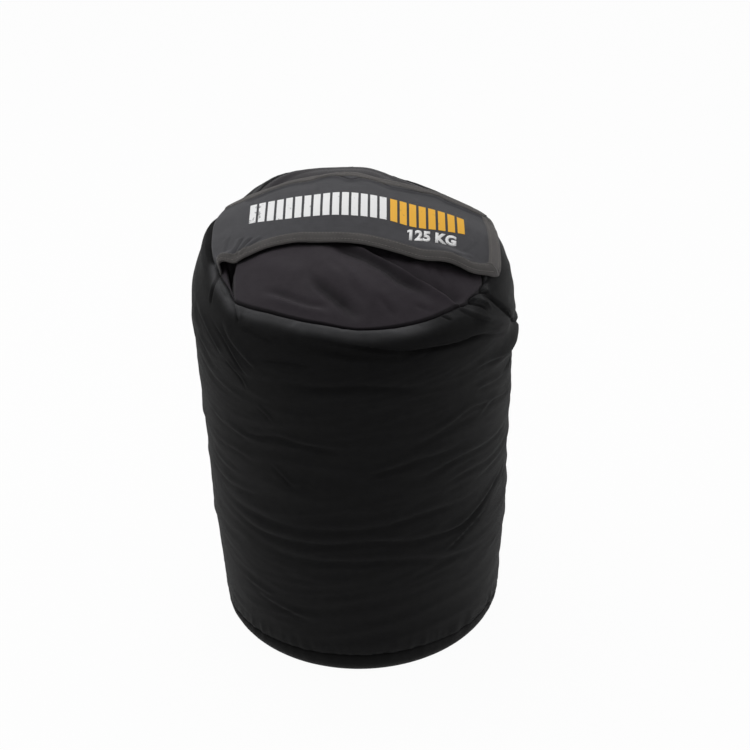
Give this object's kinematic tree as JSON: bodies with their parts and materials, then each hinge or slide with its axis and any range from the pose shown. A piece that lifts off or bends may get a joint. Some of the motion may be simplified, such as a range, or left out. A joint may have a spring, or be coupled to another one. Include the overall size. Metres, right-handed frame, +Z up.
{
  "type": "sandbag trainer",
  "caption": "Upright cylindrical fabric sandbag for strength training, with a wide cover flap over a rolled filling sleeve.",
  "frame": {"origin": "on the floor, at the middle of the base", "axes": "+Z up, -Y to the front that the picture shows, +X to the right, towards the cover flap's free end"},
  "size_m": [0.448, 0.448, 0.6642],
  "materials": {
    "shell_cloth": "matt black coated nylon, fine plain weave",
    "tape_cloth": "black woven seam tape",
    "liner_cloth": "smooth purple-black lining cloth with a soft sheen",
    "flap_cloth": "charcoal coated nylon",
    "binding_tape": "warm grey ribbed binding tape, two rows of stitches",
    "hook_and_loop": "black hook and loop tape",
    "sand": "dry sand"
  },
  "bodies": {
    "bag": {"base_panel": "shell_cloth", "base_inner_layer": "shell_cloth", "base_seam_tape": "tape_cloth", "side_wall": "shell_cloth", "side_seam_tape": "tape_cloth", "mouth_seam_tape": "tape_cloth", "liner_sack": "liner_cloth", "sand_fill": "sand", "sleeve_skirt": "liner_cloth", "flap_seam_strip": "tape_cloth", "loop_patch_front": "hook_and_loop", "loop_patch_rear": "hook_and_loop"},
    "cover_flap": {"hook_patch_front": "hook_and_loop", "hook_patch_rear": "hook_and_loop", "flap_lining": "flap_cloth", "flap_panel": "flap_cloth", "flap_binding_front": "binding_tape", "flap_binding_rear": "binding_tape", "flap_binding_end": "binding_tape"},
    "filling_sleeve": {"sleeve_roll": "liner_cloth", "sleeve_hook_tape": "hook_and_loop", "sleeve_loop_tape": "hook_and_loop"}
  },
  "joints": [
    {"name": "flap_open", "type": "hinge", "parent": "bag", "child": "cover_flap", "pos_m": [-0.191, 0, 0.60372], "axis": [0, -1, 0], "range_deg": [0, 165]},
    {"name": "sleeve_pull", "type": "slide", "parent": "bag", "child": "filling_sleeve", "axis": [0, 0, 1], "range_m": [0, 0.19], "deforming": ["sleeve_skirt"]}
  ],
  "couplings": [
    {"joint": "sleeve_pull", "follows": "flap_open", "m_per_rad": 0.065}
  ]
}
